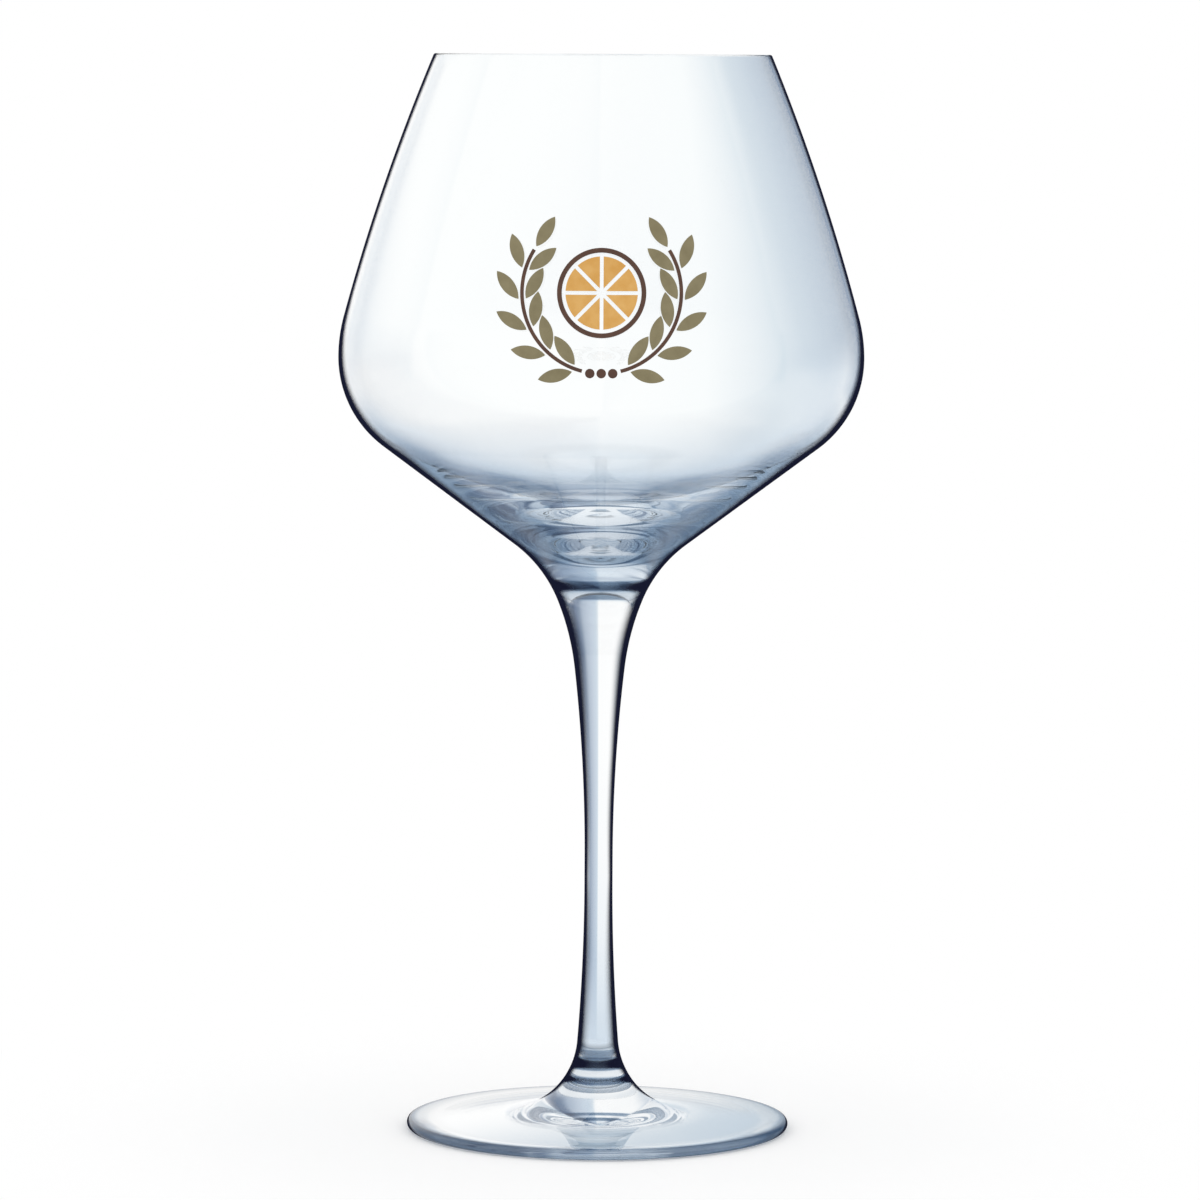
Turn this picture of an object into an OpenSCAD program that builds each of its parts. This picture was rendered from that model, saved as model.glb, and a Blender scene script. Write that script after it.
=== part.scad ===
// Stemmed balloon glass for gin and tonic: a blown bowl, a drawn stem and a pressed foot,
// fused end to end, with a three-colour print on the front of the bowl.
// Millimetres, +Z up, origin on the table under the centre of the foot, print facing -Y.
// The outline is one chain of tangent arcs, set out from the foot up, so every size can change alone.

/* [Foot] */
// Diameter of the foot
foot_d = 75.4; // [60:0.2:90]
// Thickness of the foot at its rounded edge
foot_edge = 2; // [1.5:0.1:3]
// Slope of the upper face of the foot, in degrees
foot_slope = 3; // [1.5:0.1:6]
// Radius of the flare between the foot and the stem, in section
foot_flare_r = 15.5; // [10:0.5:22]
// Width of the flat ring that the glass stands on
rest_ring = 4; // [2:0.5:8]
// Depth of the hollow under the foot, at its centre
foot_hollow = 1.4; // [0.6:0.1:2.2]

/* [Stem] */
// Diameter of the waist, the thinnest stretch of the stem
waist_d = 5.54; // [4.5:0.02:8]
// Length of the waist
waist_len = 5; // [1:0.5:40]
// Radius of the long taper from the foot up to the waist, in section
taper_low_r = 396; // [250:1:500]
// Lean of the lower taper where it meets the foot, in degrees from the vertical
taper_low_lean = 4.6; // [3:0.1:6]
// Radius of the long taper from the waist up to the neck, in section
taper_up_r = 326; // [200:1:400]
// Lean of the upper taper where it meets the neck, in degrees from the vertical
taper_up_lean = 6.6; // [5:0.1:8]
// Radius of the neck under the bowl, in section
neck_r = 51; // [40:1:65]
// Lean of the neck where it meets the bowl, in degrees from the vertical
neck_lean = 22; // [16:0.5:28]

/* [Bowl] */
// Largest outside diameter of the bowl
belly_d = 103; // [90:0.5:116]
// Wall thickness at the largest diameter
belly_wall = 1.1; // [0.9:0.1:2]
// Radius of the flare from the neck out into the lower bowl, in section
flare_r = 26.2; // [20:0.2:32]
// Lean of the outside of the lower bowl, in degrees from the vertical
cone_lean = 53.3; // [48:0.1:58]
// How much flatter the inside of the lower bowl gets than its outside, down to the round bottom, in degrees
cone_spread = 18; // [12:0.5:22]
// Radius of the round inside bottom
floor_r = 14; // [8:0.5:18]
// Outside radius of the turn just below the largest diameter, in section
turn_low_r = 21.7; // [17:0.1:26]
// Outside radius of the turn just above the largest diameter, in section
turn_up_r = 30.4; // [24:0.2:38]
// Radius of the long, nearly straight upper wall, in section
wall_r = 406; // [250:1:600]
// Height of the lip above the largest diameter
rim_rise = 59.2; // [50:0.2:70]
// Outside diameter of the lip
rim_d = 66.2; // [56:0.2:78]
// Thickness of the rounded lip
rim_wall = 1; // [0.8:0.1:1.6]

/* [Print] */
// Height of the centre of the print above the largest diameter
print_rise = 14.5; // [8:0.5:20]
// Thickness of the fired ink
ink_t = 0.08; // [0.05:0.01:0.15]
// Width of the bare lines between inks, and between segments
ink_gap = 0.7; // [0.4:0.1:1]
// Radius of the wreath along its twigs
wreath_r = 15; // [13:0.5:17]
// Width of a twig
twig_w = 0.7; // [0.4:0.1:1]
// Turn of each twig from straight down at its foot, in degrees
twig_foot = 14; // [10:1:24]
// Turn of each twig from straight down at its tip, in degrees
twig_tip = 122; // [100:1:135]
// Leaf pairs along each twig
leaf_pairs = 5; // [3:1:6]
// Length of a leaf
leaf_len = 6.6; // [4:0.1:7]
// Width of a leaf
leaf_w = 2.5; // [1.6:0.1:3]
// Lean of a leaf away from its twig, in degrees
leaf_lean = 34; // [26:1:42]
// Berries in the row between the twigs
berry_count = 3; // [1:1:3]
// Diameter of a berry
berry_d = 1.8; // [1.2:0.1:2.2]
// Outside radius of the citrus wheel's peel
peel_r = 8.4; // [6:0.1:9]
// Width of the peel
peel_w = 0.9; // [0.5:0.1:1.4]
// Segments in the citrus wheel
segment_count = 8; // [5:1:10]

/* [Hidden] */
$fa = 2;
$fs = 0.2;

glass_colour = [0.86, 0.91, 0.94, 0.45];
olive_ink = "#7d7352";
brown_ink = "#4b2a17";
amber_ink = "#d6a04c";

// Farthest that the flats of a drawn arc lie from the true arc
arc_error = 0.01;

// Plane geometry, on points [radius, height]

// The point at distance d from p on the way to q
function towards(p, q, d) = p + d * (q - p) / norm(q - p);

// Where two circles meet, on the left of the way from a to b
function meet(a, a_r, b, b_r) =
    let (d = norm(b - a), s = (d * d + a_r * a_r - b_r * b_r) / (2 * d), e = (b - a) / d)
    a + s * e + sqrt(a_r * a_r - s * s) * [-e.y, e.x];

// Points of the arc round c from p the short way to q, without q, grown outwards by g
function arc(c, p, q, g = 0) =
    let (
        r = norm(p - c),
        start = atan2(p.y - c.y, p.x - c.x),
        full = atan2(q.y - c.y, q.x - c.x) - start,
        sweep = full - 360 * round(full / 360),
        n = ceil(abs(sweep) / (2 * acos(1 - arc_error / r)))
    )
    [for (i = [0 : n - 1]) c + (r + g) * [cos(start + sweep * i / n), sin(start + sweep * i / n)]];

// Outward normal of an outside face at a lean from the vertical, widening downwards or upwards
function down_n(lean) = [cos(lean), sin(lean)];
function up_n(lean) = [cos(lean), -sin(lean)];

// Foot: round edge, straight sloping top and a flare that ends where the stem is fused on
edge_r = foot_edge / 2;
edge_c = [foot_d / 2 - edge_r, edge_r];
edge_top = edge_c + edge_r * down_n(90 - foot_slope);
waist_r = waist_d / 2;
boss_x = waist_r + taper_low_r * (1 - cos(taper_low_lean));
foot_flare_x = boss_x + foot_flare_r * (cos(taper_low_lean) - sin(foot_slope));
foot_flare_low = [foot_flare_x, edge_top.y + (edge_top.x - foot_flare_x) * tan(foot_slope)];
foot_flare_c = foot_flare_low + foot_flare_r * down_n(90 - foot_slope);
boss = foot_flare_c - foot_flare_r * down_n(taper_low_lean);
hollow_top = [0, foot_hollow];
hollow_rim = [edge_c.x - rest_ring, 0];
hollow_c = [0, (foot_hollow * foot_hollow - hollow_rim.x * hollow_rim.x) / (2 * foot_hollow)];

// Stem: straight waist between two long tapers, and a neck that ends where the bowl is fused on
taper_low_c = boss + taper_low_r * down_n(taper_low_lean);
waist_low = [waist_r, taper_low_c.y];
waist_up = waist_low + [0, waist_len];
taper_up_c = waist_up + [taper_up_r, 0];
neck_low = taper_up_c - taper_up_r * up_n(taper_up_lean);
neck_c = neck_low + neck_r * up_n(taper_up_lean);
neck_top = neck_c - neck_r * up_n(neck_lean);

// Outside of the bowl: flare, straight cone, a turn each side of the belly, and a long wall
flare_c = neck_top + flare_r * up_n(neck_lean);
cone_low = flare_c - flare_r * up_n(cone_lean);
belly_r = belly_d / 2;
cone_top_x = belly_r - turn_low_r * (1 - cos(cone_lean));
cone_top = [cone_top_x, cone_low.y + (cone_top_x - cone_low.x) / tan(cone_lean)];
low_c = cone_top - turn_low_r * up_n(cone_lean);
belly = [belly_r, low_c.y];
up_c = belly - [turn_up_r, 0];
lip_r = rim_wall / 2;
lip_top = [rim_d / 2 - lip_r, belly.y + rim_rise];
lip_c = lip_top - [0, lip_r];
wall_c = meet(up_c, wall_r - turn_up_r, lip_c, wall_r - lip_r);
wall_low = towards(wall_c, up_c, wall_r);
wall_top = towards(wall_c, lip_c, wall_r);

// Inside of the bowl: the same turns one wall in, a cone that flattens slowly, and a round bottom on the axis
belly_in = belly - [belly_wall, 0];
wall_in_c = meet(up_c, wall_r - turn_up_r + belly_wall, lip_c, wall_r + lip_r);
wall_in_low = towards(wall_in_c, up_c, wall_r);
wall_in_top = towards(wall_in_c, lip_c, wall_r);
cone_in_top = low_c + (turn_low_r - belly_wall) * up_n(cone_lean);
floor_n = up_n(cone_lean + cone_spread);
cone_in_r = (cone_in_top.x - floor_r * floor_n.x) / (cos(cone_lean) - floor_n.x);
cone_in_c = cone_in_top - cone_in_r * up_n(cone_lean);
cone_in_low = cone_in_c + cone_in_r * floor_n;
floor_c = cone_in_low - floor_r * floor_n;
floor_mid = floor_c - [0, floor_r];

// Blown bowl: thin rounded lip, long inward wall, turned belly, cone and thick bottom
module bowl() {
    color(glass_colour) rotate_extrude() polygon(concat(
        [[0, neck_top.y]],
        arc(flare_c, neck_top, cone_low),
        [cone_low],
        arc(low_c, cone_top, belly),
        arc(up_c, belly, wall_low),
        arc(wall_c, wall_low, wall_top),
        arc(lip_c, wall_top, lip_top),
        arc(lip_c, lip_top, wall_in_top),
        arc(wall_in_c, wall_in_top, wall_in_low),
        arc(up_c, wall_in_low, belly_in),
        arc(low_c, belly_in, cone_in_top),
        arc(cone_in_c, cone_in_top, cone_in_low),
        arc(floor_c, cone_in_low, floor_mid),
        [floor_mid]
    ));
}

// Drawn solid stem, from the boss of the foot to the flare of the bowl
module stem() {
    color(glass_colour) rotate_extrude() polygon(concat(
        [[0, boss.y]],
        arc(taper_low_c, boss, waist_low),
        [waist_low],
        arc(taper_up_c, waist_up, neck_low),
        arc(neck_c, neck_low, neck_top),
        [neck_top, [0, neck_top.y]]
    ));
}

// Pressed foot: shallow hollow, flat ring to stand on, round edge, and a boss for the stem
module foot() {
    color(glass_colour) rotate_extrude() polygon(concat(
        arc(hollow_c, hollow_top, hollow_rim),
        [hollow_rim],
        arc(edge_c, [edge_c.x, 0], edge_top),
        [edge_top],
        arc(foot_flare_c, foot_flare_low, boss),
        [boss, [0, boss.y]]
    ));
}

// Print: flat drawings, laid on the front of the bowl as films of ink

// The bowl as a solid from cone to lip, grown outwards by g
module grown_bowl(g) {
    side = concat(
        arc(low_c, cone_top, belly, g),
        arc(up_c, belly, wall_low, g),
        arc(wall_c, wall_low, wall_top, g)
    );
    rotate_extrude() polygon(concat([[0, side[0].y]], side, [[0, side[len(side) - 1].y]]));
}

// A film of ink on the outside of the bowl, cut to the drawing that is its child
module ink(colour) {
    color(colour) difference() {
        intersection() {
            grown_bowl(ink_t);
            translate([0, 0, belly.y + print_rise]) rotate([90, 0, 0]) linear_extrude(belly_d) children();
        }
        grown_bowl(0);
    }
}

// Right and left copies of a drawing
module both_sides() {
    children();
    mirror([1, 0]) children();
}

// A place on the right twig: turn counted from straight down, +X along the twig
module on_twig(turn) {
    rotate(turn - 90) translate([wreath_r, 0]) rotate(90) children();
}

// A pointed leaf, from the origin along +X
module leaf() {
    r = (leaf_len * leaf_len + leaf_w * leaf_w) / (4 * leaf_w);
    intersection() {
        translate([leaf_len / 2, r - leaf_w / 2]) circle(r);
        translate([leaf_len / 2, leaf_w / 2 - r]) circle(r);
    }
}

// Leaf pairs up both twigs, and a leaf past each tip
module leaf_print() {
    pitch = (twig_tip - twig_foot) / leaf_pairs;
    clear = (twig_w + ink_gap) / 2;
    ink(olive_ink) both_sides() {
        for (i = [0 : leaf_pairs - 1], s = [-1, 1])
            on_twig(twig_foot + (i + 0.3) * pitch) translate([0, s * clear]) rotate(s * leaf_lean) leaf();
        on_twig(twig_tip) translate([ink_gap, 0]) leaf();
    }
}

// The two twigs, a row of berries between their feet, and the peel of the citrus wheel
module twig_print() {
    reach = 2 * wreath_r;
    berry_pitch = berry_d + ink_gap / 2;
    ink(brown_ink) {
        both_sides() intersection() {
            difference() {
                circle(wreath_r + twig_w / 2);
                circle(wreath_r - twig_w / 2);
            }
            polygon([
                [0, 0],
                reach * [sin(twig_foot), -cos(twig_foot)],
                reach * [1, -1],
                reach * [1, 1],
                reach * [sin(twig_tip), -cos(twig_tip)]
            ]);
        }
        for (i = [0 : berry_count - 1])
            translate([(i - (berry_count - 1) / 2) * berry_pitch, -wreath_r]) circle(d = berry_d);
        difference() {
            circle(peel_r);
            circle(peel_r - peel_w);
        }
    }
}

// The segments of the citrus wheel, inside its peel
module citrus_print() {
    half = 180 / segment_count;
    apex = ink_gap / 2 / sin(half);
    ink(amber_ink) for (i = [0 : segment_count - 1]) rotate((2 * i + 1) * half) intersection() {
        circle(peel_r - peel_w - ink_gap);
        translate([apex, 0]) polygon([[0, 0], peel_r * [1, -tan(half)], peel_r * [1, tan(half)]]);
    }
}

bowl();
stem();
foot();
leaf_print();
twig_print();
citrus_print();
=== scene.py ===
"""Dressed model of a stemmed balloon glass for gin and tonic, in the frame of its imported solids.

The three fused pieces of glass are turned on the axis from their own half sections, and the fired
print keeps its solids. The stage is a pale floor under plain soft light.
"""

import logging
import math
from collections.abc import Callable
from dataclasses import dataclass, field
from enum import Enum
from typing import NamedTuple

import bmesh
import bpy
from mathutils import Matrix, Vector


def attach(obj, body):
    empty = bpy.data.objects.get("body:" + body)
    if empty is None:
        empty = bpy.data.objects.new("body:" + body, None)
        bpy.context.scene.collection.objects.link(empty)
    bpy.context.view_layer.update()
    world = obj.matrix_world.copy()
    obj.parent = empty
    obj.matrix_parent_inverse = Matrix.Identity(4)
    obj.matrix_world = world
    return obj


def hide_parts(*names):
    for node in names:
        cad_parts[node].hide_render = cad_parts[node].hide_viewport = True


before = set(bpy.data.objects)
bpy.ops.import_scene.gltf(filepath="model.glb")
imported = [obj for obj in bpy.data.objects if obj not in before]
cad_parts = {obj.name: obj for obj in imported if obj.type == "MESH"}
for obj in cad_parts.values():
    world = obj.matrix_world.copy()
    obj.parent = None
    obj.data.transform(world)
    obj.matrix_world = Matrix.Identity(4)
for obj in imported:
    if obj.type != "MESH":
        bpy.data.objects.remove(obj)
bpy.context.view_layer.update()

MM = 0.001
BODY = "root"
WHITE = "#ffffff"

# Fineness of the turned glass
TURN_STEPS = 256
ARC_ERROR_MM = 0.0015
COARSEST_ARC = 0.02
LINE_STEP_MM = 1.5
SAME_POINT_M = 1e-7
SHARP_ANGLE = math.radians(30)

# What counts as level, as the height of a seam, and as the axis
LEVEL_NORMAL = 0.9999
SEAM_MM = 0.001
AXIS_MM = 0.001

# Light that runs down inside the stem is thrown back many times before it leaves
GLASS_BOUNCES = 96
OPEN_BOUNCES = 32

# Values that the points of the glass carry for its finish
EDGE_ON = "edge_on"
TINT_DEPTH = "tint_and_shade_depth"
HEAD_ON = "head_on_tint"
LEAST_EDGE_ON = 0.0001
HEAD_ON_SHARE = 0.2

log = logging.getLogger("glass")

Links = dict[str | int, object]
Line = tuple[tuple[float, float], ...]
Tones = tuple[tuple[float, str], ...]


class Solid(Enum):
    """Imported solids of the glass, by the names of their nodes."""

    BOWL = "bowl"
    STEM = "stem"
    FOOT = "foot"
    LEAVES = "leaf_print"
    TWIGS = "twig_print"
    CITRUS = "citrus_print"


class Look(NamedTuple):
    """What the finish shows at one point of the glass.

    Attributes:
        line: Width of the dark line along the edge, a painted shade for the dark studio that the glass
            shows edge-on, in millimetres.
        tint: Depth of tint, partly the glass's own and partly painted shade, which is fullest at 1 and
            stays so beyond.
        head_on: Share of the tint that shows where the glass is seen head-on.
    """

    line: float
    tint: float
    head_on: float


LookRule = Callable[[float, float, bool], Look]


def linear(hex_colour: str) -> tuple[float, float, float, float]:
    """Turns an sRGB hex colour to linear light.

    Args:
        hex_colour: Six hex digits with a leading hash.

    Returns:
        Linear red, green and blue, and full alpha.
    """
    parts = [int(hex_colour[i : i + 2], 16) / 255 for i in (1, 3, 5)]
    red, green, blue = (c / 12.92 if c <= 0.04045 else ((c + 0.055) / 1.055) ** 2.4 for c in parts)
    return red, green, blue, 1.0


def add_node(
    tree: bpy.types.NodeTree, kind: str, links: Links | None = None, **settings: object
) -> bpy.types.Node:
    """Adds a node with its settings, and sets or links its inputs.

    Args:
        tree: The node tree that gets the node.
        kind: The node's type name.
        links: Input name or number to a socket to link, or to a value to set.
        **settings: Attributes of the node itself.

    Returns:
        The new node.
    """
    node = tree.nodes.new(kind)
    for name, value in settings.items():
        setattr(node, name, value)
    for name, value in (links or {}).items():
        if isinstance(value, bpy.types.NodeSocket):
            tree.links.new(value, node.inputs[name])
        else:
            node.inputs[name].default_value = value
    return node


def set_ramp(node: bpy.types.Node, tones: Tones) -> None:
    """Gives a colour ramp its stops.

    Args:
        node: The colour ramp.
        tones: Place and sRGB hex colour of each stop, in rising order.
    """
    ramp = node.color_ramp
    while len(ramp.elements) < len(tones):
        ramp.elements.new(1.0)
    for element, (place, tone) in zip(ramp.elements, tones):
        element.position = place
        element.color = linear(tone)


def empty_material(name: str) -> bpy.types.Material:
    """Makes a material that has no nodes yet.

    Args:
        name: Name of the material.

    Returns:
        The material.
    """
    made = bpy.data.materials.new(name)
    made.use_nodes = True
    made.node_tree.nodes.clear()
    return made


def link_object(name: str, bm: bmesh.types.BMesh) -> bpy.types.Object:
    """Turns a bmesh into an object of the scene, at the origin.

    Args:
        name: Name of the object and of its mesh.
        bm: The finished bmesh, which is freed.

    Returns:
        The object.
    """
    data = bpy.data.meshes.new(name)
    bm.to_mesh(data)
    bm.free()
    made = bpy.data.objects.new(name, data)
    bpy.context.scene.collection.objects.link(made)
    return made


def towards(start: Vector, goal: Vector, distance: float) -> Vector:
    """Returns the point at a distance from start on the way to goal."""
    return start + (goal - start).normalized() * distance


def meet(a: Vector, a_radius: float, b: Vector, b_radius: float) -> Vector:
    """Finds where two circles meet.

    Args:
        a: Centre of the first circle, as radius and height in a half section.
        a_radius: Radius of the first circle.
        b: Centre of the second circle.
        b_radius: Radius of the second circle.

    Returns:
        The meeting point on the left of the way from a to b.
    """
    apart = (b - a).length
    along = (apart**2 + a_radius**2 - b_radius**2) / (2 * apart)
    way = (b - a) / apart
    return a + way * along + Vector((-way.y, way.x)) * math.sqrt(a_radius**2 - along**2)


def between(corners: Line, at: float) -> float:
    """Reads a value off a broken line.

    Args:
        corners: Place and value of each corner, in rising order of place.
        at: The place to read.

    Returns:
        The value there, level beyond the ends.
    """
    for (low, low_value), (high, high_value) in zip(corners, corners[1:]):
        if at < high:
            share = max(0.0, (at - low) / (high - low))
            return low_value + share * (high_value - low_value)
    return corners[-1][1]


def leaning(lean: float, widens: int) -> Vector:
    """Outward normal of an outside face, as radius and height.

    Args:
        lean: Lean of the face from the vertical, in degrees.
        widens: 1 where the face widens downwards, -1 where it widens upwards.

    Returns:
        The unit normal.
    """
    return Vector((math.cos(math.radians(lean)), widens * math.sin(math.radians(lean))))


class HalfSection:
    """A half section of turned glass, drawn stroke by stroke in millimetres and then turned about Z."""

    def __init__(self, start: Vector) -> None:
        """Starts the outline.

        Args:
            start: First point, as radius and height.
        """
        self.mesh = bmesh.new()
        self.last = bmesh.ops.create_vert(self.mesh, co=(start.x, 0, start.y))["vert"][0]

    def line(self, goal: Vector) -> "HalfSection":
        """Draws a straight stroke, with points on the way that the look can change at.

        Args:
            goal: End of the stroke, as radius and height.

        Returns:
            The same section, to draw on.
        """
        start = Vector((self.last.co.x, self.last.co.z))
        steps = math.ceil((goal - start).length / LINE_STEP_MM)
        for step in range(1, steps + 1):
            place = start.lerp(goal, step / steps)
            self.last = bmesh.ops.extrude_vert_indiv(self.mesh, verts=[self.last])["verts"][0]
            self.last.co = (place.x, 0, place.y)
        return self

    def arc(self, centre: Vector, goal: Vector) -> "HalfSection":
        """Draws a round stroke by spinning the last point the short way about a centre.

        Args:
            centre: Centre of the arc, as radius and height.
            goal: End of the arc.

        Returns:
            The same section, to draw on.
        """
        here = Vector((self.last.co.x, self.last.co.z)) - centre
        there = goal - centre
        sweep = math.atan2(here.x * there.y - here.y * there.x, here.dot(there))
        step = 2 * math.acos(1 - min(ARC_ERROR_MM / here.length, COARSEST_ARC))
        spun = bmesh.ops.spin(
            self.mesh, geom=[self.last], cent=(centre.x, 0, centre.y), axis=(0, -1, 0),
            angle=sweep, steps=max(2, math.ceil(abs(sweep) / step)),
        )
        self.last = next(v for v in spun["geom_last"] if isinstance(v, bmesh.types.BMVert))
        self.last.co = (goal.x, 0, goal.y)
        return self

    def turned(self, name: str, seams: tuple[float, ...], rule: LookRule) -> bpy.types.Object:
        """Turns the outline into a closed piece.

        Args:
            name: Name of the piece.
            seams: Heights of the flat fused faces, in millimetres, which get the second material.
            rule: Gives the look of a point from its radius and height in millimetres, and from whether
                it lies on the outside.

        Returns:
            The new object, at the origin and in metres.
        """
        bm = self.mesh
        bmesh.ops.spin(
            bm, geom=[*bm.verts, *bm.edges], cent=(0, 0, 0), axis=(0, 0, 1),
            angle=math.tau, steps=TURN_STEPS, use_merge=True,
        )
        bmesh.ops.scale(bm, vec=(MM, MM, MM), verts=bm.verts)
        bmesh.ops.remove_doubles(bm, verts=bm.verts, dist=SAME_POINT_M)
        bmesh.ops.recalc_face_normals(bm, faces=bm.faces)
        for face in bm.faces:
            height = face.calc_center_median().z / MM
            level = abs(face.normal.z) > LEVEL_NORMAL
            face.material_index = int(level and any(abs(height - seam) < SEAM_MM for seam in seams))
            face.smooth = True
        for edge in bm.edges:
            edge.smooth = edge.calc_face_angle(0) < SHARP_ANGLE
        self.mark_look(rule)
        return link_object(name, bm)

    def mark_look(self, rule: LookRule) -> None:
        """Writes the look of the turned glass on its points, for the finish to read.

        Args:
            rule: Gives the look of a point.
        """
        layers = self.mesh.verts.layers.float
        edge_on, tint_depth, head_on = (layers.new(name) for name in (EDGE_ON, TINT_DEPTH, HEAD_ON))
        for vert in self.mesh.verts:
            radius = vert.co.xy.length / MM
            sides = [face.normal for face in vert.link_faces if not face.material_index]
            normal = sum(sides, Vector()).normalized()
            look = rule(radius, vert.co.z / MM, normal.xy.dot(vert.co.xy) > 0)
            reach = math.sqrt(2 * look.line / max(radius, AXIS_MM))
            vert[edge_on] = max(normal.xy.length * reach, LEAST_EDGE_ON)
            vert[tint_depth] = look.tint
            vert[head_on] = look.head_on


@dataclass(frozen=True)
class ClearGlass:
    """Fire-polished soda-lime glass, with slow ripples left by the mould."""

    # To the eye it is colourless where it is thin, blue-grey where it is thick and slanted, and dark where
    # it turns edge-on. The blue-grey is partly the glass's own tint and partly painted shade, and the dark
    # edges are a painted line of shade. Both stand in for the dark studio that the glass bends and mirrors.
    name: str = "clear_soda_lime_glass"
    ior: float = 1.52
    # Tints from thin to thick glass, and the depth of tint at which each is reached. The two dark
    # blue-greys at the end are painted shade, past the glass's own tint.
    tints: tuple[str, ...] = ("#feffff", "#d3e0ec", "#56708e", "#30455f")
    depths: tuple[float, ...] = (0.0, 0.3, 0.6, 1.0)
    # Slant, from 0 head-on to 1 edge-on, at which the tint starts to grow and is full
    slant_start: float = 0.45
    slant_full: float = 0.8
    # Painted shade: a dark line along the edges for the dark studio that the glass shows edge-on, and the
    # share of its reach at which it starts to fade
    painted_edge_shade: str = "#191c30"
    edge_core: float = 0.6
    # Length, height and make-up of the ripples
    ripple_mm: float = 16.0
    ripple_depth_mm: float = 0.012
    ripple_detail: float = 1.0
    ripple_roughness: float = 0.4

    def tint_colour(
        self, tree: bpy.types.NodeTree, facing: bpy.types.NodeSocket
    ) -> bpy.types.NodeSocket:
        """Works out the tint, partly the glass's own and partly painted shade, from its depth and the slant
        of the glass.

        Args:
            tree: Node tree of the material.
            facing: Slant of the glass, 0 head-on and 1 edge-on.

        Returns:
            The colour socket.
        """
        depth = add_node(tree, "ShaderNodeAttribute", attribute_name=TINT_DEPTH)
        head_on = add_node(tree, "ShaderNodeAttribute", attribute_name=HEAD_ON)
        slant = add_node(
            tree, "ShaderNodeMapRange",
            {
                0: facing, "From Min": self.slant_start, "From Max": self.slant_full,
                "To Min": head_on.outputs["Fac"], "To Max": 1.0,
            },
            interpolation_type="SMOOTHSTEP",
        )
        # Tint grows with depth and slant; past the glass's own tint it is painted shade
        thick = add_node(
            tree, "ShaderNodeMath", {0: depth.outputs["Fac"], 1: slant.outputs[0]}, operation="MULTIPLY",
        )
        colour = add_node(tree, "ShaderNodeValToRGB", {0: thick.outputs[0]})
        set_ramp(colour, tuple(zip(self.depths, self.tints)))
        return colour.outputs[0]

    def painted_edge_share(
        self, tree: bpy.types.NodeTree, facing: bpy.types.NodeSocket
    ) -> bpy.types.NodeSocket:
        """Works out how dark the painted line of shade along the edge is, on faces seen from outside and
        not in a mirror.

        Args:
            tree: Node tree of the material.
            facing: Slant of the glass, 0 head-on and 1 edge-on.

        Returns:
            The socket of the share, from 0 clear to 1 dark.
        """
        turn = add_node(tree, "ShaderNodeAttribute", attribute_name=EDGE_ON)
        level = add_node(tree, "ShaderNodeMath", {0: 1.0, 1: facing}, operation="SUBTRACT")
        share = add_node(
            tree, "ShaderNodeMath", {0: level.outputs[0], 1: turn.outputs["Fac"]}, operation="DIVIDE",
        )
        edge = add_node(
            tree, "ShaderNodeMapRange",
            {
                0: share.outputs[0], "From Min": self.edge_core, "From Max": 1.0,
                "To Min": 1.0, "To Max": 0.0,
            },
            interpolation_type="SMOOTHSTEP",
        )
        side = add_node(tree, "ShaderNodeNewGeometry")
        path = add_node(tree, "ShaderNodeLightPath")
        unseen = add_node(
            tree, "ShaderNodeMath",
            {0: side.outputs["Backfacing"], 1: path.outputs["Is Reflection Ray"]}, operation="MAXIMUM",
        )
        seen = add_node(
            tree, "ShaderNodeMath", {0: edge.outputs[0], 1: unseen.outputs[0]}, operation="SUBTRACT",
            use_clamp=True,
        )
        return seen.outputs[0]

    def material(self) -> bpy.types.Material:
        """Makes the material of the glass.

        Returns:
            The material.
        """
        made = empty_material(self.name)
        tree = made.node_tree
        place = add_node(tree, "ShaderNodeTexCoord")
        ripple = add_node(
            tree, "ShaderNodeTexNoise",
            {
                "Vector": place.outputs["Object"], "Scale": 1 / (self.ripple_mm * MM),
                "Detail": self.ripple_detail, "Roughness": self.ripple_roughness,
            },
        )
        bump = add_node(
            tree, "ShaderNodeBump",
            {"Height": ripple.outputs[0], "Strength": 1.0, "Distance": self.ripple_depth_mm * MM},
        )
        facing = add_node(tree, "ShaderNodeLayerWeight", {"Blend": 0.5}).outputs["Facing"]
        clear = add_node(
            tree, "ShaderNodeBsdfPrincipled",
            {
                "Base Color": self.tint_colour(tree, facing), "Roughness": 0.0, "IOR": self.ior,
                "Transmission Weight": 1.0, "Normal": bump.outputs[0],
            },
        )
        # Painted shade: a dark diffuse mixed in along the edges, for the dark studio that the glass shows
        # edge-on
        dark = add_node(tree, "ShaderNodeBsdfDiffuse", {"Color": linear(self.painted_edge_shade)})
        shader = add_node(
            tree, "ShaderNodeMixShader",
            {0: self.painted_edge_share(tree, facing), 1: clear.outputs[0], 2: dark.outputs[0]},
        )
        add_node(tree, "ShaderNodeOutputMaterial", {"Surface": shader.outputs[0]})
        return made


@dataclass(frozen=True)
class FusedSeam:
    """The melted joint inside the glass."""

    # To the eye it isn't there, so light goes straight through
    name: str = "fused_glass_seam"

    def material(self) -> bpy.types.Material:
        """Makes the material of the seam.

        Returns:
            The material.
        """
        made = empty_material(self.name)
        clear = add_node(made.node_tree, "ShaderNodeBsdfTransparent")
        add_node(made.node_tree, "ShaderNodeOutputMaterial", {"Surface": clear.outputs[0]})
        return made


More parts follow.
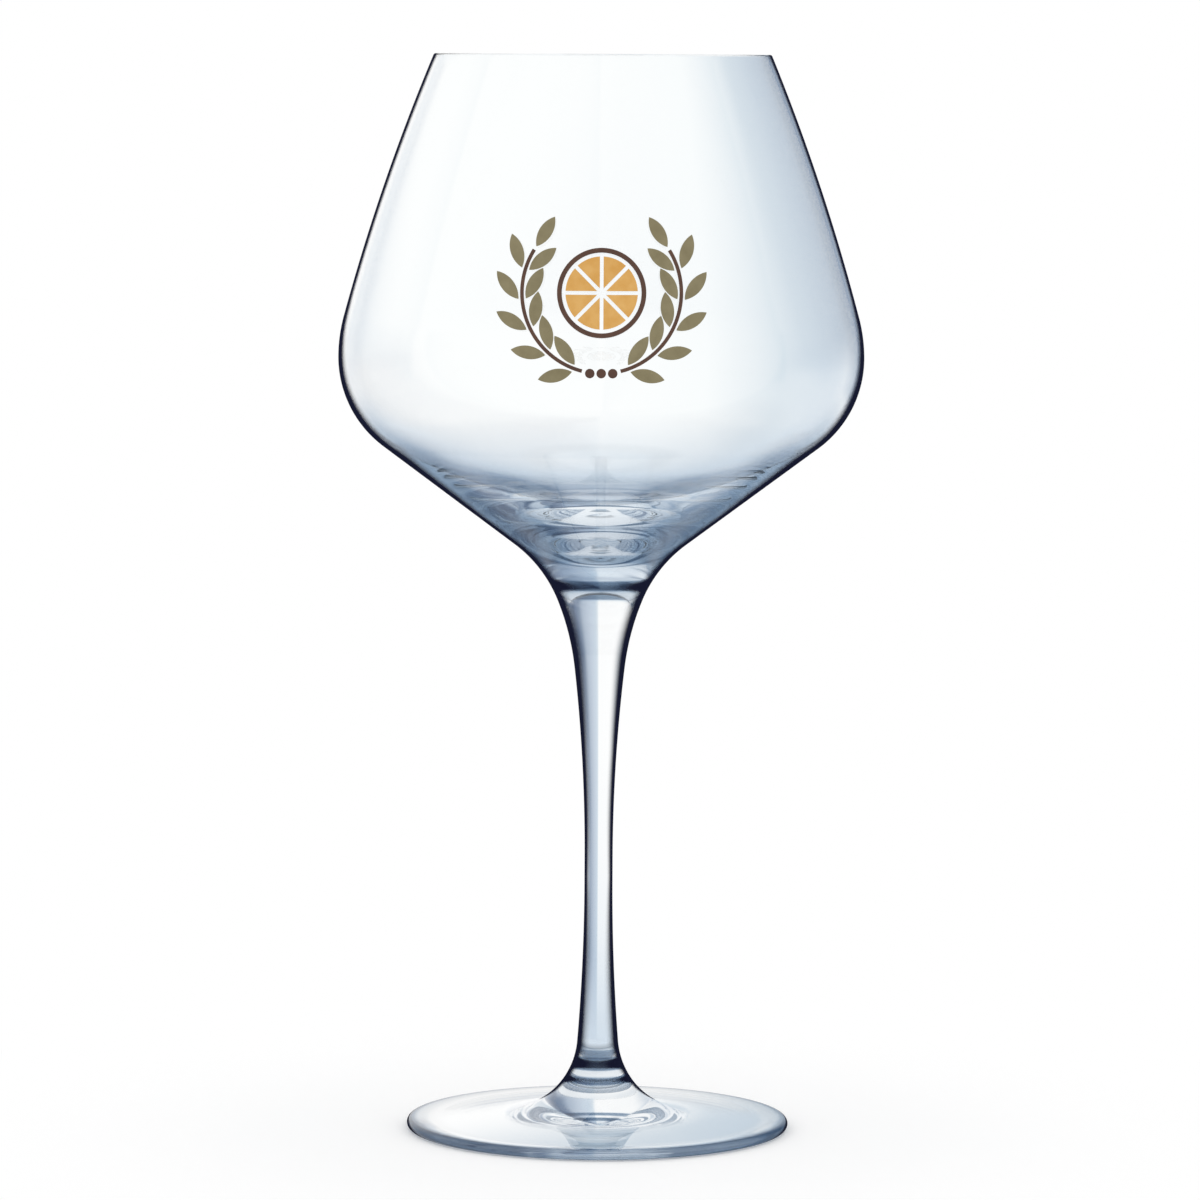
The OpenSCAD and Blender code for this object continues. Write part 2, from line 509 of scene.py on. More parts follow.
@dataclass(frozen=True)
class FiredInk:
    """Enamel that was screened on in one colour and fired."""

    # To the eye it is satin and slightly uneven in density, with the grain of the screen. A real screen
    # has about ten threads to the millimetre, so the grain is drawn coarser than that, to show
    name: str
    colour: str
    thin_colour: str
    patch_mm: float = 2.4
    patch_detail: float = 3.0
    grain_mm: float = 0.28
    grain_detail: float = 2.0
    grain_depth_mm: float = 0.012
    grain_strength: float = 0.4
    # Noise values at which the ink is at full density and at its thinnest
    dense_at: float = 0.3
    thin_at: float = 0.7
    roughness_low: float = 0.3
    roughness_high: float = 0.48
    ior: float = 1.5

    def material(self) -> bpy.types.Material:
        """Makes the material of the ink.

        Returns:
            The material.
        """
        made = empty_material(self.name)
        tree = made.node_tree
        place = add_node(tree, "ShaderNodeTexCoord").outputs["Object"]
        patch = add_node(
            tree, "ShaderNodeTexNoise",
            {"Vector": place, "Scale": 1 / (self.patch_mm * MM), "Detail": self.patch_detail},
        )
        grain = add_node(
            tree, "ShaderNodeTexNoise",
            {"Vector": place, "Scale": 1 / (self.grain_mm * MM), "Detail": self.grain_detail},
        )
        density = add_node(
            tree, "ShaderNodeMapRange",
            {
                0: patch.outputs[0], "From Min": self.dense_at, "From Max": self.thin_at,
                "To Min": 0.0, "To Max": 1.0,
            },
        )
        colour = add_node(
            tree, "ShaderNodeMix",
            {0: density.outputs[0], 6: linear(self.colour), 7: linear(self.thin_colour)}, data_type="RGBA",
        )
        gloss = add_node(
            tree, "ShaderNodeMapRange",
            {0: grain.outputs[0], "To Min": self.roughness_low, "To Max": self.roughness_high},
        )
        bump = add_node(
            tree, "ShaderNodeBump",
            {
                "Height": grain.outputs[0], "Strength": self.grain_strength,
                "Distance": self.grain_depth_mm * MM,
            },
        )
        shader = add_node(
            tree, "ShaderNodeBsdfPrincipled",
            {
                "Base Color": colour.outputs[2], "Roughness": gloss.outputs[0], "IOR": self.ior,
                "Normal": bump.outputs[0],
            },
        )
        add_node(tree, "ShaderNodeOutputMaterial", {"Surface": shader.outputs[0]})
        return made


def dress_glass(
    piece: bpy.types.Object, solid: Solid, finish: list[bpy.types.Material]
) -> bpy.types.Object:
    """Gives a turned piece its glass and puts it in the place of its solid.

    Args:
        piece: The turned piece.
        solid: The solid that it replaces.
        finish: Glass and seam materials.

    Returns:
        The same piece.
    """
    for material in finish:
        piece.data.materials.append(material)
    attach(piece, BODY)
    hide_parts(solid.value)
    log.info("%s: %d faces", piece.name, len(piece.data.polygons))
    return piece


@dataclass
class Stem:
    """Drawn solid stem: a neck, a long taper, a straight waist and a second long taper. Sizes in mm."""

    waist_diameter: float = 5.54
    waist_length: float = 5.0
    low_taper_radius: float = 396.0
    low_taper_lean: float = 4.6
    up_taper_radius: float = 326.0
    up_taper_lean: float = 6.6
    neck_radius: float = 51.0
    neck_lean: float = 22.0
    # Width of the dark line and depth of tint by height, both painted shade: the lower stem is painted with
    # the blue that the foot shows
    line: Line = ((17, 1.8), (50, 0.95), (75, 1.3), (104.7, 2.5))
    tint: Line = ((17, 1.5), (26, 1.2), (40, 0.5), (55, 0.15), (75, 0.0))
    # Edge of the fused face under the bowl, known once the stem is built
    top: Vector = field(init=False, default_factory=lambda: Vector((0, 0)))

    @property
    def end_radius(self) -> float:
        """Radius where the stem meets the boss of the foot."""
        flare = 1 - math.cos(math.radians(self.low_taper_lean))
        return self.waist_diameter / 2 + self.low_taper_radius * flare

    def look(self, radius: float, height: float, outside: bool) -> Look:
        """Gives the look of a point of the stem.

        Args:
            radius: Its distance from the axis; not used.
            height: Its height.
            outside: Whether it lies on the outside; not used.

        Returns:
            The look.
        """
        # Painted shade: dark edge line and blue tint by height
        return Look(between(self.line, height), between(self.tint, height), HEAD_ON_SHARE)

    def build(self, boss: Vector, finish: list[bpy.types.Material]) -> bpy.types.Object:
        """Turns the stem.

        Args:
            boss: Edge of the foot's fused face, as radius and height.
            finish: Glass and seam materials.

        Returns:
            The stem.
        """
        low_centre = boss + leaning(self.low_taper_lean, 1) * self.low_taper_radius
        waist_low = Vector((self.waist_diameter / 2, low_centre.y))
        waist_up = waist_low + Vector((0, self.waist_length))
        up_centre = waist_up + Vector((self.up_taper_radius, 0))
        neck_low = up_centre - leaning(self.up_taper_lean, -1) * self.up_taper_radius
        neck_centre = neck_low + leaning(self.up_taper_lean, -1) * self.neck_radius
        self.top = neck_centre - leaning(self.neck_lean, -1) * self.neck_radius
        section = HalfSection(Vector((0, boss.y))).line(boss).arc(low_centre, waist_low).line(waist_up)
        section.arc(up_centre, neck_low).arc(neck_centre, self.top).line(Vector((0, self.top.y)))
        piece = section.turned("stem_glass", (boss.y, self.top.y), self.look)
        return dress_glass(piece, Solid.STEM, finish)


@dataclass
class Foot:
    """Pressed foot: round edge, sloping top, flare up to a boss, and a shallow hollow. Sizes in mm."""

    diameter: float = 75.4
    edge: float = 2.0
    slope: float = 3.0
    flare_radius: float = 15.5
    rest_ring: float = 4.0
    hollow: float = 1.4
    # Width of the painted dark line of shade by radius, on the boss and on the round edge
    line: Line = ((4, 1.8), (8, 1.2), (12, 0.0), (36.6, 0.0), (36.8, 1.8))
    # Two dark rings of painted shade on the boss, where the flare turns the view down into the foot, as
    # width of line and depth of tint by height
    painted_ring_line: Line = (
        (9.3, 0.0), (9.8, 4.5), (10.3, 4.5), (10.7, 0.0),
        (12.0, 0.0), (12.6, 5.6), (13.7, 5.6), (14.3, 0.0),
    )
    painted_ring_tint: Line = (
        (9.2, 0.0), (9.5, 4.1), (10.6, 4.1), (10.9, 0.2),
        (11.9, 0.2), (12.2, 4.9), (14.1, 4.9), (14.5, 1.5),
    )
    # Depth of tint of the round edge by radius, deepened into painted shade at the very edge
    painted_edge_shade: Line = ((34.8, 0.0), (36.3, 0.3), (36.76, 0.8), (36.95, 2.7))
    # Edge of the fused face under the stem, known once the foot is built
    boss: Vector = field(init=False, default_factory=lambda: Vector((0, 0)))

    def look(self, radius: float, height: float, outside: bool) -> Look:
        """Gives the look of a point of the foot.

        Args:
            radius: Its distance from the axis.
            height: Its height.
            outside: Whether it lies on the outside; not used.

        Returns:
            The look.
        """
        # Painted shade: dark lines and deep tint on the boss rings and the round edge
        line = max(between(self.line, radius), between(self.painted_ring_line, height))
        tint = max(between(self.painted_edge_shade, radius), between(self.painted_ring_tint, height))
        return Look(line, tint, HEAD_ON_SHARE)

    def build(self, stem: Stem, finish: list[bpy.types.Material]) -> bpy.types.Object:
        """Turns the foot to fit a stem.

        Args:
            stem: The stem that is fused on.
            finish: Glass and seam materials.

        Returns:
            The foot.
        """
        edge_centre = Vector((self.diameter / 2 - self.edge / 2, self.edge / 2))
        top_normal = leaning(90 - self.slope, 1)
        edge_top = edge_centre + top_normal * (self.edge / 2)
        slope = math.radians(self.slope)
        reach = self.flare_radius * (math.cos(math.radians(stem.low_taper_lean)) - math.sin(slope))
        flare_x = stem.end_radius + reach
        flare_low = Vector((flare_x, edge_top.y + (edge_top.x - flare_x) * math.tan(slope)))
        flare_centre = flare_low + top_normal * self.flare_radius
        self.boss = flare_centre - leaning(stem.low_taper_lean, 1) * self.flare_radius
        rim = Vector((edge_centre.x - self.rest_ring, 0))
        hollow_centre = Vector((0, (self.hollow**2 - rim.x**2) / (2 * self.hollow)))
        section = HalfSection(Vector((0, self.hollow))).arc(hollow_centre, rim)
        section.line(Vector((edge_centre.x, 0)))
        section.arc(edge_centre, Vector((self.diameter / 2, self.edge / 2))).arc(edge_centre, edge_top)
        section.line(flare_low).arc(flare_centre, self.boss).line(Vector((0, self.boss.y)))
        piece = section.turned("foot_glass", (self.boss.y,), self.look)
        return dress_glass(piece, Solid.FOOT, finish)


@dataclass
class Bowl:
    """Blown bowl: rounded lip, long wall, turned belly, straight cone and thick bottom. Sizes in mm."""

    belly_diameter: float = 103.0
    belly_wall: float = 1.1
    flare_radius: float = 26.2
    cone_lean: float = 53.3
    cone_spread: float = 18.0
    floor_radius: float = 14.0
    low_turn_radius: float = 21.7
    up_turn_radius: float = 30.4
    wall_radius: float = 406.0
    rim_rise: float = 59.2
    rim_diameter: float = 66.2
    rim_wall: float = 1.0
    # Width of the painted dark line of shade by height, outside and inside
    line: Line = ((104.7, 2.5), (112, 1.9), (122, 1.9), (134, 3.4), (148, 1.9), (165, 1.0))
    inside_line: Line = ((118, 0.0), (124, 1.4), (134, 1.4), (140, 0.0))
    # Dark ring of painted shade on the flare just above the stem, as width of line by height
    painted_ring_line: Line = ((106.6, 0.0), (107.6, 6.2), (108.4, 6.2), (109.6, 0.0))
    # Depth of tint by height: painted shade in the same ring and in a second one; in the thick bottom and
    # the cone, the glass's own tint deepened with painted shade
    tint: Line = (
        (107.0, 0.0), (107.4, 4.9), (109.0, 4.9), (109.4, 0.8), (112.8, 2.1), (113.4, 4.0), (114.3, 4.0),
        (114.9, 2.4), (120, 2.2), (123, 1.6), (126, 0.95), (129, 0.68), (133, 0.62), (136, 0.48),
        (140, 0.24), (146, 0.0),
    )
    # Share of the tint that shows head-on by height: the belly is white in the middle
    head_on: Line = ((129, HEAD_ON_SHARE), (137, 0.0))

    def look(self, radius: float, height: float, outside: bool) -> Look:
        """Gives the look of a point of the bowl.

        Args:
            radius: Its distance from the axis.
            height: Its height.
            outside: Whether it lies on the outside.

        Returns:
            The look.
        """
        # Painted shade: dark lines, rings and deep tint by height
        line = between(self.inside_line, height)
        if outside:
            line = max(between(self.line, height), between(self.painted_ring_line, height))
        return Look(line, between(self.tint, height), between(self.head_on, height))

    def build(self, stem: Stem, finish: list[bpy.types.Material]) -> bpy.types.Object:
        """Turns the bowl above a stem.

        Args:
            stem: The stem that it is fused to, already built.
            finish: Glass and seam materials.

        Returns:
            The bowl.
        """
        # Outside, from the stem up to the lip
        cone_normal = leaning(self.cone_lean, -1)
        flare_centre = stem.top + leaning(stem.neck_lean, -1) * self.flare_radius
        cone_low = flare_centre - cone_normal * self.flare_radius
        cone_top_x = self.belly_diameter / 2 - self.low_turn_radius * (1 - cone_normal.x)
        cone_rise = (cone_top_x - cone_low.x) / math.tan(math.radians(self.cone_lean))
        cone_top = Vector((cone_top_x, cone_low.y + cone_rise))
        low_centre = cone_top - cone_normal * self.low_turn_radius
        belly = Vector((self.belly_diameter / 2, low_centre.y))
        up_centre = belly - Vector((self.up_turn_radius, 0))
        lip = self.rim_wall / 2
        lip_top = Vector((self.rim_diameter / 2 - lip, belly.y + self.rim_rise))
        lip_centre = lip_top - Vector((0, lip))
        outside_radius = self.wall_radius - self.up_turn_radius
        wall_centre = meet(up_centre, outside_radius, lip_centre, self.wall_radius - lip)

        # Inside, from the lip down to the round bottom
        inside_radius = outside_radius + self.belly_wall
        inside_centre = meet(up_centre, inside_radius, lip_centre, self.wall_radius + lip)
        cone_in_top = low_centre + cone_normal * (self.low_turn_radius - self.belly_wall)
        floor_normal = leaning(self.cone_lean + self.cone_spread, -1)
        cone_in_run = cone_in_top.x - self.floor_radius * floor_normal.x
        hollow_radius = cone_in_run / (cone_normal.x - floor_normal.x)
        hollow_centre = cone_in_top - cone_normal * hollow_radius
        cone_in_low = hollow_centre + floor_normal * hollow_radius
        floor_centre = cone_in_low - floor_normal * self.floor_radius

        section = HalfSection(Vector((0, stem.top.y))).line(stem.top)
        section.arc(flare_centre, cone_low).line(cone_top).arc(low_centre, belly)
        section.arc(up_centre, towards(wall_centre, up_centre, self.wall_radius))
        section.arc(wall_centre, towards(wall_centre, lip_centre, self.wall_radius))
        section.arc(lip_centre, lip_top)
        section.arc(lip_centre, towards(inside_centre, lip_centre, self.wall_radius))
        section.arc(inside_centre, towards(inside_centre, up_centre, self.wall_radius))
        section.arc(up_centre, belly - Vector((self.belly_wall, 0)))
        section.arc(low_centre, cone_in_top).arc(hollow_centre, cone_in_low)
        section.arc(floor_centre, floor_centre - Vector((0, self.floor_radius)))
        piece = section.turned("bowl_glass", (stem.top.y,), self.look)
        return dress_glass(piece, Solid.BOWL, finish)


@dataclass
class Print:
    """The fired print on the front of the bowl: one film of ink for each colour."""

    inks: dict[Solid, FiredInk] = field(
        default_factory=lambda: {
            Solid.LEAVES: FiredInk("olive_enamel_ink", "#7b7150", "#877d5c"),
            Solid.TWIGS: FiredInk("brown_enamel_ink", "#472817", "#553420"),
            Solid.CITRUS: FiredInk("amber_enamel_ink", "#d39b45", "#deac5e"),
        }
    )

    def dress(self) -> None:
        """Gives each film of ink its finish."""
        for solid, ink in self.inks.items():
            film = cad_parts[solid.value]
            film.data.materials.clear()
            film.data.materials.append(ink.material())
            log.info("%s: %s", solid.value, ink.name)


@dataclass
class Floor:
    """Pale floor under the glass. Sizes in mm."""

    # Matt white card: to the eye an even pale ground that nothing but the soft shadow darkens
    radius: float = 170.0
    sides: int = 128
    drop: float = 0.2
    colour: str = "#f2f2f2"
    # Own light that lifts the floor to white for the eye, and where it fades to plain white
    fill: float = 0.14
    fade_start: float = 59.5
    fade_end: float = 153.0
    # What glass shows of it: white, going over to this tone of painted shade along a way across the foot
    painted_shade_tone: str = "#b1c2d1"
    under_way: tuple[float, float, float] = (0.8, -0.6, 0.0)
    under_start: float = -25.0
    under_end: float = 20.0
    # The same grows dimmer towards the edge of the foot, a painted shadow of its rim, and stops a little
    # outside it
    painted_shadow_level: float = 0.6
    dim_start: float = 29.0
    dim_end: float = 38.0
    stop_start: float = 42.0
    stop_end: float = 60.0

    def seen_shader(
        self, tree: bpy.types.NodeTree, path: bpy.types.Node, away: bpy.types.NodeSocket
    ) -> bpy.types.NodeSocket:
        """Makes the floor that the eye sees, which keeps the shadow and fades to white.

        Args:
            tree: Node tree of the floor.
            path: Its Light Path node.
            away: Distance from the axis.

        Returns:
            The shader socket.
        """
        fade = add_node(
            tree, "ShaderNodeMapRange",
            {0: away, "From Min": self.fade_start * MM, "From Max": self.fade_end * MM},
            interpolation_type="SMOOTHSTEP",
        )
        white = add_node(
            tree, "ShaderNodeMath", {0: fade.outputs[0], 1: path.outputs["Is Camera Ray"]},
            operation="MULTIPLY",
        )
        fill = add_node(
            tree, "ShaderNodeMath", {0: path.outputs["Is Camera Ray"], 1: self.fill}, operation="MULTIPLY",
        )
        matt = add_node(tree, "ShaderNodeBsdfDiffuse", {"Color": linear(self.colour)})
        glow = add_node(tree, "ShaderNodeEmission", {"Strength": fill.outputs[0]})
        lit = add_node(tree, "ShaderNodeAddShader", {0: matt.outputs[0], 1: glow.outputs[0]})
        plain = add_node(tree, "ShaderNodeEmission", {"Strength": 1.0})
        seen = add_node(
            tree, "ShaderNodeMixShader", {0: white.outputs[0], 1: lit.outputs[0], 2: plain.outputs[0]},
        )
        return seen.outputs[0]

    def under_shader(
        self, tree: bpy.types.NodeTree, place: bpy.types.NodeSocket, away: bpy.types.NodeSocket
    ) -> bpy.types.NodeSocket:
        """Makes the floor that shows in the glass, close round the foot, with painted shade across it and a
        painted shadow of the foot's rim.

        Args:
            tree: Node tree of the floor.
            place: Object coordinates.
            away: Distance from the axis.

        Returns:
            The shader socket.
        """
        across = add_node(
            tree, "ShaderNodeVectorMath", {0: place, 1: self.under_way}, operation="DOT_PRODUCT",
        )
        shade = add_node(
            tree, "ShaderNodeMapRange",
            {
                0: across.outputs["Value"], "From Min": self.under_start * MM,
                "From Max": self.under_end * MM,
            },
            interpolation_type="SMOOTHSTEP",
        )
        # Painted shade: white going over to a cool grey across the foot
        under = add_node(
            tree, "ShaderNodeMix",
            {0: shade.outputs[0], 6: linear(WHITE), 7: linear(self.painted_shade_tone)}, data_type="RGBA",
        )
        # Painted shadow: darker towards the rim of the foot
        dim = add_node(
            tree, "ShaderNodeMapRange",
            {
                0: away, "From Min": self.dim_start * MM, "From Max": self.dim_end * MM,
                "To Min": 1.0, "To Max": self.painted_shadow_level,
            },
            interpolation_type="SMOOTHSTEP",
        )
        spot = add_node(
            tree, "ShaderNodeEmission", {"Color": under.outputs[2], "Strength": dim.outputs[0]},
        )
        stop = add_node(
            tree, "ShaderNodeMapRange",
            {0: away, "From Min": self.stop_start * MM, "From Max": self.stop_end * MM},
            interpolation_type="SMOOTHSTEP",
        )
        beyond = add_node(tree, "ShaderNodeBsdfTransparent")
        shown = add_node(
            tree, "ShaderNodeMixShader", {0: stop.outputs[0], 1: spot.outputs[0], 2: beyond.outputs[0]},
        )
        return shown.outputs[0]

    def material(self) -> bpy.types.Material:
        """Makes the material of the floor.

        Returns:
            The material.
        """
        made = empty_material("pale_floor")
        tree = made.node_tree
        path = add_node(tree, "ShaderNodeLightPath")
        place = add_node(tree, "ShaderNodeTexCoord").outputs["Object"]
        away = add_node(tree, "ShaderNodeVectorMath", {0: place}, operation="LENGTH").outputs["Value"]
        in_glass = add_node(
            tree, "ShaderNodeMath",
            {0: path.outputs["Is Glossy Ray"], 1: path.outputs["Is Transmission Ray"]}, operation="MAXIMUM",
        )
        shader = add_node(
            tree, "ShaderNodeMixShader",
            {
                0: in_glass.outputs[0], 1: self.seen_shader(tree, path, away),
                2: self.under_shader(tree, place, away),
            },
        )
        add_node(tree, "ShaderNodeOutputMaterial", {"Surface": shader.outputs[0]})
        return made

    def build(self) -> None:
        """Lays the round floor just below the glass."""
        bm = bmesh.new()
        bmesh.ops.create_circle(bm, cap_ends=True, segments=self.sides, radius=self.radius * MM)
        bmesh.ops.translate(bm, vec=(0, 0, -self.drop * MM), verts=bm.verts)
        floor = link_object("floor", bm)
        floor.data.materials.append(self.material())
        log.info("floor")


@dataclass(frozen=True)
class Wall:
    """A wall of the studio that only mirrored and bent light sees.

    Heights are those of a direction, from -1 straight down to 1 straight up.
    """

    # Degrees clockwise from the back, seen from above, and the tone there
    tones: Tones
    # Heights at which the wall starts to show and shows in full
    start: float
    full: float
    # Heights at which it starts to fade and is gone, past 1 on a wall with no upper end
    end: float = 2.0
    gone: float = 2.2


# Two ways in which a wall falls off from white on one side to grey and back to white
SOFT_FALL: Tones = ((0.9, WHITE), (2.4, "#d4e1e8"), (8, "#ecf1f5"), (20, WHITE))
STRONG_FALL: Tones = (
    (0.9, WHITE), (1.5, "#fafcfd"), (2.4, "#dde6ed"), (5, "#cbd8e5"),
    (12, "#bfcbda"), (26, "#95a4b8"), (34, "#bcc7d4"), (44, WHITE),
)
FALLS = ((-180, SOFT_FALL), (-90, SOFT_FALL), (0, STRONG_FALL), (90, SOFT_FALL))


@dataclass
class Studio:
    """Plain soft light, white to the eye, with the graded studio that shows in the glass."""

    light_level: float = 1.0
    # Backdrops all round, dark cards on the right and a pale card on the left
    walls: tuple[Wall, ...] = (
        Wall(
            tuple((side + turn, tone) for side, fall in FALLS for turn, tone in fall),
            start=-0.27, full=-0.18,
        ),
        Wall(
            (
                (20, WHITE), (30, "#90a2ba"), (36, "#657690"),
                (62, "#6c7e9b"), (78, "#90a2b8"), (92, WHITE),
            ),
            start=-0.16, full=0.12,
        ),
        Wall(
            ((-92, WHITE), (-80, "#ced8e3"), (-50, "#c4d0de"), (-38, "#e7edf3"), (-26, WHITE)),
            start=-0.16, full=0.08, end=0.12, gone=0.32,
        ),
    )
    # Ground, seen only in mirrors: far behind the glass from these heights down, and straight below
    far_tone: str = "#90a2b6"
    far_start: float = 0.55
    far_full: float = 0.8
    far_top: float = -0.2
    far_low: float = -0.42
    below_tone: str = "#a2b3c4"
    below_top: float = -0.65
    below_low: float = -0.85
    # Ceiling, seen in the back half and to both sides
    ceiling_tone: str = "#95a2b3"
    ceiling_start: float = 0.5
    ceiling_full: float = 0.75
    aside_start: float = 0.15
    aside_full: float = 0.4
    behind_start: float = -0.1
    behind_full: float = 0.25

    def round_colour(
        self, tree: bpy.types.NodeTree, part: bpy.types.Node, tones: Tones
    ) -> bpy.types.NodeSocket:
        """Colours the studio round the glass.

        Args:
            tree: Node tree of the world.
            part: Direction from the glass, taken apart.
            tones: Degrees clockwise from the back, seen from above, and the tone there.

        Returns:
            The colour socket.
        """
        azimuth = add_node(
            tree, "ShaderNodeMath", {0: part.outputs["X"], 1: part.outputs["Y"]}, operation="ARCTAN2",
        )
        turn = add_node(
            tree, "ShaderNodeMath", {0: azimuth.outputs[0], 1: 1 / math.tau, 2: 0.5},
            operation="MULTIPLY_ADD",
        )
        ramp = add_node(tree, "ShaderNodeValToRGB", {0: turn.outputs[0]})
        set_ramp(ramp, tuple(((degrees + 180) / 360, tone) for degrees, tone in tones))
        return ramp.outputs[0]

    def wall_colour(self, tree: bpy.types.NodeTree, part: bpy.types.Node) -> bpy.types.NodeSocket:
        """Lays the walls over each other, on white.

        Args:
            tree: Node tree of the world.
            part: Direction from the glass, taken apart.

        Returns:
            The colour socket.
        """
        shown = linear(WHITE)
        for wall in self.walls:
            above = add_node(
                tree, "ShaderNodeMapRange",
                {0: part.outputs["Z"], "From Min": wall.start, "From Max": wall.full},
                interpolation_type="SMOOTHSTEP",
            )
            below = add_node(
                tree, "ShaderNodeMapRange",
                {0: part.outputs["Z"], "From Min": wall.gone, "From Max": wall.end},
                interpolation_type="SMOOTHSTEP",
            )
            stretch = add_node(
                tree, "ShaderNodeMath", {0: above.outputs[0], 1: below.outputs[0]}, operation="MULTIPLY",
            )
            shown = add_node(
                tree, "ShaderNodeMix",
                {0: stretch.outputs[0], 6: shown, 7: self.round_colour(tree, part, wall.tones)},
                data_type="RGBA", blend_type="MULTIPLY",
            ).outputs[2]
        return shown

    def ground_colour(
        self,
        tree: bpy.types.NodeTree,
        part: bpy.types.Node,
        path: bpy.types.Node,
        over: bpy.types.NodeSocket,
    ) -> bpy.types.NodeSocket:
        """Lays the ground under the walls, for mirrored light alone.

        Light that passes through the glass misses it, so the glass stays clear when seen from above.

        Args:
            tree: Node tree of the world.
            part: Direction from the glass, taken apart.
            path: Light Path node of the world.
            over: Colour of the walls.

        Returns:
            The colour socket.
        """
        far = add_node(
            tree, "ShaderNodeMapRange",
            {0: part.outputs["Y"], "From Min": self.far_start, "From Max": self.far_full},
            interpolation_type="SMOOTHSTEP",
        )
        mirrored = add_node(
            tree, "ShaderNodeMath", {0: 1.0, 1: path.outputs["Is Transmission Ray"]}, operation="SUBTRACT",
        )
        shown = over
        for top, low, where, tone in (
            (self.far_top, self.far_low, far.outputs[0], self.far_tone),
            (self.below_top, self.below_low, 1.0, self.below_tone),
        ):
            down = add_node(
                tree, "ShaderNodeMapRange", {0: part.outputs["Z"], "From Min": top, "From Max": low},
                interpolation_type="SMOOTHSTEP",
            )
            there = add_node(tree, "ShaderNodeMath", {0: down.outputs[0], 1: where}, operation="MULTIPLY")
            share = add_node(
                tree, "ShaderNodeMath", {0: there.outputs[0], 1: mirrored.outputs[0]}, operation="MULTIPLY",
            )
            shown = add_node(
                tree, "ShaderNodeMix", {0: share.outputs[0], 6: shown, 7: linear(tone)}, data_type="RGBA",
            ).outputs[2]
        return shown

    def ceiling_colour(
        self, tree: bpy.types.NodeTree, part: bpy.types.Node, under: bpy.types.NodeSocket
    ) -> bpy.types.NodeSocket:
        """Lays the ceiling over the walls.

        Args:
            tree: Node tree of the world.
            part: Direction from the glass, taken apart.
            under: Colour of walls and ground.

        Returns:
            The colour socket.
        """
        upper = add_node(
            tree, "ShaderNodeMapRange",
            {0: part.outputs["Z"], "From Min": self.ceiling_start, "From Max": self.ceiling_full},
            interpolation_type="SMOOTHSTEP",
        )
        behind = add_node(
            tree, "ShaderNodeMapRange",
            {0: part.outputs["Y"], "From Min": self.behind_start, "From Max": self.behind_full},
            interpolation_type="SMOOTHSTEP",
        )
        across = add_node(tree, "ShaderNodeMath", {0: part.outputs["X"]}, operation="ABSOLUTE")
        aside = add_node(
            tree, "ShaderNodeMapRange",
            {0: across.outputs[0], "From Min": self.aside_start, "From Max": self.aside_full},
            interpolation_type="SMOOTHSTEP",
        )
        back_half = add_node(
            tree, "ShaderNodeMath", {0: upper.outputs[0], 1: behind.outputs[0]}, operation="MULTIPLY",
        )
        share = add_node(
            tree, "ShaderNodeMath", {0: back_half.outputs[0], 1: aside.outputs[0]}, operation="MULTIPLY",
        )
        return add_node(
            tree, "ShaderNodeMix", {0: share.outputs[0], 6: under, 7: linear(self.ceiling_tone)},
            data_type="RGBA",
        ).outputs[2]

    def build(self) -> None:
        """Makes the world: its light, its white for the eye, and the studio that shows in the glass."""
        world = bpy.data.worlds.new("studio")
        bpy.context.scene.world = world
        world.use_nodes = True
        tree = world.node_tree
        tree.nodes.clear()
        path = add_node(tree, "ShaderNodeLightPath")
        way = add_node(tree, "ShaderNodeTexCoord").outputs["Generated"]
        part = add_node(tree, "ShaderNodeSeparateXYZ", {0: way})
        walls = self.wall_colour(tree, part)
        shown = self.ceiling_colour(tree, part, self.ground_colour(tree, part, path, walls))
        light = add_node(
            tree, "ShaderNodeBackground", {"Color": linear(WHITE), "Strength": self.light_level},
        )
        seen = add_node(tree, "ShaderNodeBackground", {"Color": linear(WHITE), "Strength": 1.0})
        glass = add_node(tree, "ShaderNodeBackground", {"Color": shown, "Strength": 1.0})
        in_glass = add_node(
            tree, "ShaderNodeMath",
            {0: path.outputs["Is Glossy Ray"], 1: path.outputs["Is Transmission Ray"]}, operation="MAXIMUM",
        )
        unseen = add_node(
            tree, "ShaderNodeMixShader", {0: in_glass.outputs[0], 1: light.outputs[0], 2: glass.outputs[0]},
        )
        shader = add_node(
            tree, "ShaderNodeMixShader",
            {0: path.outputs["Is Camera Ray"], 1: unseen.outputs[0], 2: seen.outputs[0]},
        )
        add_node(tree, "ShaderNodeOutputWorld", {"Surface": shader.outputs[0]})
        log.info("studio light")


@dataclass
class Viewpoint:
    """Camera of the photograph: level with the lip, over a metre away. Sizes in mm and degrees."""

    distance: float = 1190.0
    height: float = 211.6
    pitch: float = 5.131
    roll: float = 0.31
    lens: float = 182.25
    sensor: float = 36.0
    nearest: float = 10.0
    farthest: float = 50000.0

    def build(self) -> None:
        """Places the camera and makes it the scene's own."""
        data = bpy.data.cameras.new("camera")
        data.lens = self.lens
        data.sensor_width = self.sensor
        data.clip_start = self.nearest * MM
        data.clip_end = self.farthest * MM
        camera = bpy.data.objects.new("camera", data)
        bpy.context.scene.collection.objects.link(camera)
        tilt = Matrix.Rotation(math.radians(90 - self.pitch), 4, "X")
        roll = Matrix.Rotation(math.radians(self.roll), 4, "Z")
        place = Matrix.Translation((0, -self.distance * MM, self.height * MM))
        camera.matrix_world = place @ tilt @ roll
        bpy.context.scene.camera = camera
        log.info("camera")


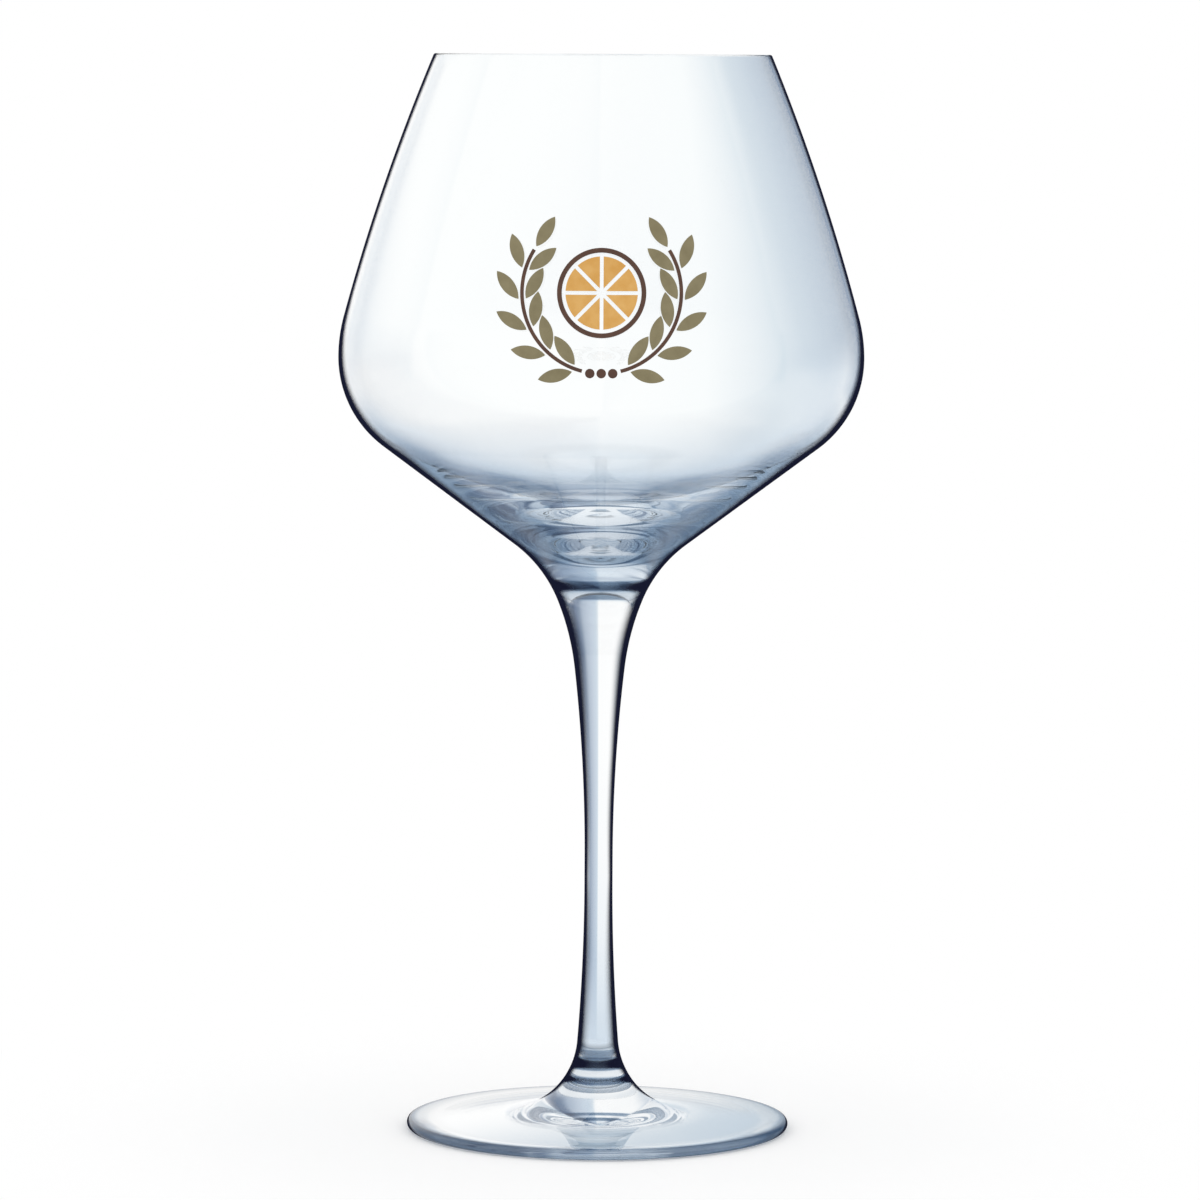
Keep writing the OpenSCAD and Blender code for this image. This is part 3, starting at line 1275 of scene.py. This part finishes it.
def main() -> None:
    """Builds the glass, its print, the stage and the camera, and logs what it makes."""
    logging.basicConfig(level=logging.INFO, format="%(name)s: %(message)s")
    scene = bpy.context.scene
    scene.view_settings.view_transform = "Standard"
    scene.cycles.max_bounces = GLASS_BOUNCES
    scene.cycles.glossy_bounces = GLASS_BOUNCES
    scene.cycles.transmission_bounces = GLASS_BOUNCES
    scene.cycles.transparent_max_bounces = OPEN_BOUNCES
    finish = [ClearGlass().material(), FusedSeam().material()]
    stem, foot, bowl = Stem(), Foot(), Bowl()
    foot.build(stem, finish)
    stem.build(foot.boss, finish)
    bowl.build(stem, finish)
    Print().dress()
    Floor().build()
    Studio().build()
    Viewpoint().build()


if __name__ == "__main__":
    main()
